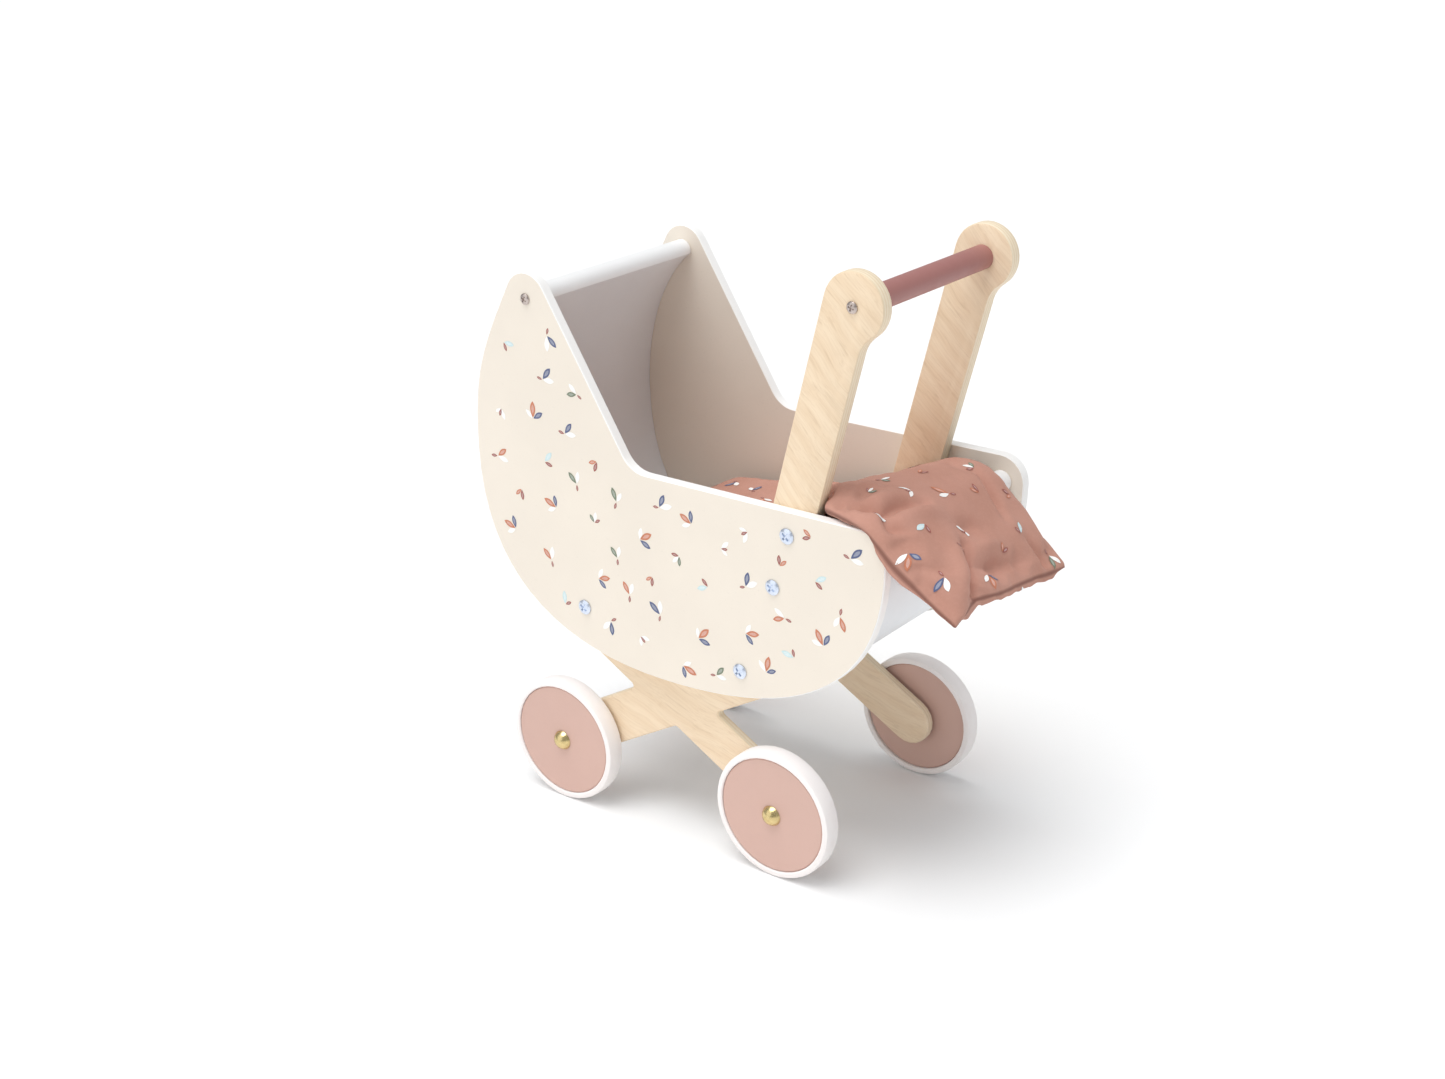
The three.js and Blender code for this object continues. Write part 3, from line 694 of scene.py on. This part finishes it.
# The stuffing sinks, so the under cloth bulges out past the seam, and the seam shows above the
# edge. On the left this starts narrow beside the arm and is full once the pad hangs free.
ROLL_LEFT, ROLL_RIGHT, ROLL_FOOT = 0.0088, 0.0075, 0.0125  # how far it bulges
SIDE_REACH, FOOT_REACH = 0.018, 0.020  # how wide a strip along the seam bulges
CORNER_FADE = 0.022  # it dies out over this distance before a corner
FREE_FROM, FREE_OVER, BESIDE_ARM = 0.33, 0.06, 0.2  # flat place, length of the change, least share

along_of, across_of = both(along), both(across)
from_left, from_right = flat_xy[:, 0], DUVET_WIDTH - flat_xy[:, 0]
from_foot = duvet_len - flat_xy[:, 1]


def roll(away, reach, size, fade):
    """How far the under cloth rolls out at `away` from the seam; nothing at the corners."""
    bulge = np.sin(math.pi * np.clip(away / reach, 0, 1))
    return size * bulge * np.clip(fade / CORNER_FADE, 0, 1)


under = np.where(is_top, 0, 1)
past_arm = np.clip((flat_xy[:, 1] - FREE_FROM) / FREE_OVER, BESIDE_ARM, 1)
at_left = roll(from_left, SIDE_REACH, ROLL_LEFT, from_foot)
at_right = roll(from_right, SIDE_REACH, ROLL_RIGHT, from_foot)
at_foot = roll(from_foot, FOOT_REACH, ROLL_FOOT, np.minimum(from_left, from_right))
shape -= across_of * (under * past_arm * at_left)[:, None]
shape += across_of * (under * at_right)[:, None]
shape += along_of * (under * at_foot)[:, None]

# Flatten the pad where it lies against the wood: a point that is too near goes back towards the
# pad's middle until it is clear.
WAY = Vector((0.31, 0.22, 0.92)).normalized()  # a ray this way counts the walls it passes
CLEAR = 0.0006  # the least gap to the wood
SEARCH = 0.02  # wood further off than this doesn't matter
PULL_STEPS = 11
solids = [tree_of(nodes[n]) for n in (
    "side_panel_left", "side_panel_right", "body_shell", "handle_arm_left", "handle_arm_right",
    "foot_dowel", "chassis_plate_left", "chassis_plate_right")]


def clear_of(tree, p):
    """Whether a point is outside a solid and far enough from its surface."""
    near = tree.find_nearest(p, SEARCH)
    if near[0] is None:
        return True
    if near[3] < CLEAR:
        return False
    if (p - near[0]).dot(near[1]) > 0:
        return True
    hits, start = 0, p
    while (hit := tree.ray_cast(start, WAY)[0]) is not None:
        hits, start = hits + 1, hit + WAY * 1e-6
    return hits % 2 == 0


back = np.zeros(len(shape))
for k, point in enumerate(shape):
    inner = Vector(middle_of[k])
    for share in np.linspace(0, 1, PULL_STEPS):
        p = Vector(point).lerp(inner, share)
        if all(clear_of(tree, p) for tree in solids):
            break
    back[k] = share
shape += (middle_of - shape) * back[:, None]
set_shape(pad, shape)

UV_SPAN = 0.5  # metres of cloth across the unit square of the UV map
uv = pad.data.uv_layers.new(name="cloth")
for loop in pad.data.loops:
    uv.data[loop.index].uv = flat_xy[loop.vertex_index] / UV_SPAN
sub = pad.modifiers.new("smooth", "SUBSURF")
sub.levels = sub.render_levels = 1

WEAVE_PITCH = 0.00052  # metres from one crossing of the threads to the next


def cloth_finish():
    """Fine plain-woven cotton with a soft sheen, and a painted shade line along its seam. The weave
    follows the cloth's flat coordinates.
    """
    f = Finish("cotton", 0.86, Sheen_Weight=0.16, Sheen_Roughness=0.5, Specular_IOR_Level=0.25)
    f.shader.inputs["Sheen Tint"].default_value = rgb(236, 204, 192)
    where = f.node("ShaderNodeUVMap")
    where.uv_map = "cloth"
    flat_at = f.node("ShaderNodeMapping", Vector=where.outputs["UV"])
    flat_at.inputs["Scale"].default_value = (UV_SPAN, UV_SPAN, UV_SPAN)
    at = flat_at.outputs["Vector"]
    xyz = f.node("ShaderNodeSeparateXYZ", Vector=at)
    pitch = 2 * math.pi / WEAVE_PITCH
    warp = f.math("SINE", f.math("MULTIPLY", xyz.outputs["X"], pitch))
    weft = f.math("SINE", f.math("MULTIPLY", xyz.outputs["Y"], pitch))
    weave = f.math("MULTIPLY", warp, weft)
    slub = f.noise(at, 420, 3, 0.6)
    cloud = f.noise(f.place(), 22, 3)
    body = f.mix(f.span(cloud, 0.35, 0.7), rgb(192, 142, 125), rgb(204, 154, 138))
    body = f.mix(f.span(weave, -1, 1, 0, 0.16), body, rgb(164, 114, 99))
    body = f.mix(f.span(slub, 0.45, 0.75, 0, 0.16), body, rgb(214, 170, 154))
    # Painted shade: the colour darkens to a deep brown within about 2 mm of the seam, standing in
    # for the shade in the seam's groove.
    edge = [f.math("MINIMUM", xyz.outputs[k], f.math("SUBTRACT", size, xyz.outputs[k]))
            for k, size in (("X", DUVET_WIDTH), ("Y", duvet_len))]
    seam_shade = f.span(f.math("MINIMUM", *edge), 0.0005, 0.0021, 0.7, 0)
    body = f.mix(seam_shade, body, rgb(112, 70, 60))
    f.colour(body)
    f.rough(f.span(slub, 0.3, 0.7, 0.8, 0.93))
    f.bump(f.math("ADD", f.span(weave, -1, 1), f.math("MULTIPLY", slub, 0.8)), 0.00009, 0.6)
    return f.material


pad.data.materials.append(cloth_finish())
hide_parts("duvet")
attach(pad, "duvet")

# ---- print on the duvet, draped on the finished surface ----
dg = bpy.context.evaluated_depsgraph_get()
smooth = pad.evaluated_get(dg).data
final = np.array([tuple(p.co) for p in smooth.vertices[:len(shape)]])
final_normal = np.array([tuple(n.vector) for n in smooth.vertex_normals[:len(shape)]])


def on_cloth(index):
    """A function that gives the place and normal of a flat point on one of the two cloths."""
    def put(x, y):
        row, column = y / duvet_len * ROWS, x / DUVET_WIDTH * COLUMNS
        i = min(max(int(row), 0), ROWS - 1)
        j = min(max(int(column), 0), COLUMNS - 1)
        s, t = row - i, column - j
        place, normal = np.zeros(3), np.zeros(3)
        for k, share in ((index[i, j], (1 - s) * (1 - t)), (index[i + 1, j], s * (1 - t)),
                         (index[i, j + 1], (1 - s) * t), (index[i + 1, j + 1], s * t)):
            place += final[k] * share
            normal += final_normal[k] * share
        return Vector(place), Vector(normal).normalized()
    return put


MARGIN = 0.0125  # sprigs stay this far inside the seam
drape = ([], [], [])
for index, seed in ((top_index, 5), (under_index, 17)):
    points, rng = scatter(lambda p: True, (MARGIN, MARGIN),
                          (DUVET_WIDTH - MARGIN, duvet_len - MARGIN), seed)
    made = sprigs(points, rng, on_cloth(index), CLOTH_INK_LIFT)
    base = len(drape[0])
    drape[0].extend(made[0])
    drape[1].extend([base + k for k in loop] for loop in made[1])
    drape[2].extend(made[2])
duvet_print = mesh_piece("print_duvet", drape[0], drape[1], ink_materials, drape[2], smooth=True)
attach(duvet_print, "duvet")

# ---- floor and light ----
FLOOR_HALF = 30
corners = [(x * FLOOR_HALF, y * FLOOR_HALF, 0) for x, y in ((-1, -1), (1, -1), (1, 1), (-1, 1))]
floor = mesh_piece("floor", corners, [(0, 1, 2, 3)], [])
ground = Finish("floor", 0.6, Specular_IOR_Level=0.2)
tone = ground.noise(ground.place(), 3, 2)
ground.colour(ground.mix(tone, rgb(250, 250, 250), rgb(252, 252, 252)))
floor.data.materials.append(ground.material)
floor.location.z = cad_box[0].z - 0.0002  # just under the tyres


def sun(name, toward, spread, strength):
    """A soft far light from the direction `toward`; `spread` is its angle across in degrees."""
    light = bpy.data.lights.new(name, "SUN")
    light.angle = math.radians(spread)
    light.energy = strength
    obj = bpy.data.objects.new(name, light)
    obj.rotation_euler = Vector(toward).to_track_quat("Z", "Y").to_euler()
    bpy.context.scene.collection.objects.link(obj)


sun("key", (-0.05, -0.2, 1.0), 46, 2.0)
sun("fill", (-0.35, -1.0, 0.55), 60, 0.58)
world = bpy.data.worlds.new("studio")
world.use_nodes = True
world.node_tree.nodes["Background"].inputs["Color"].default_value = (0.96, 0.98, 1.0, 1)
world.node_tree.nodes["Background"].inputs["Strength"].default_value = 0.46
bpy.context.scene.world = world
bpy.context.scene.view_settings.view_transform = "Standard"
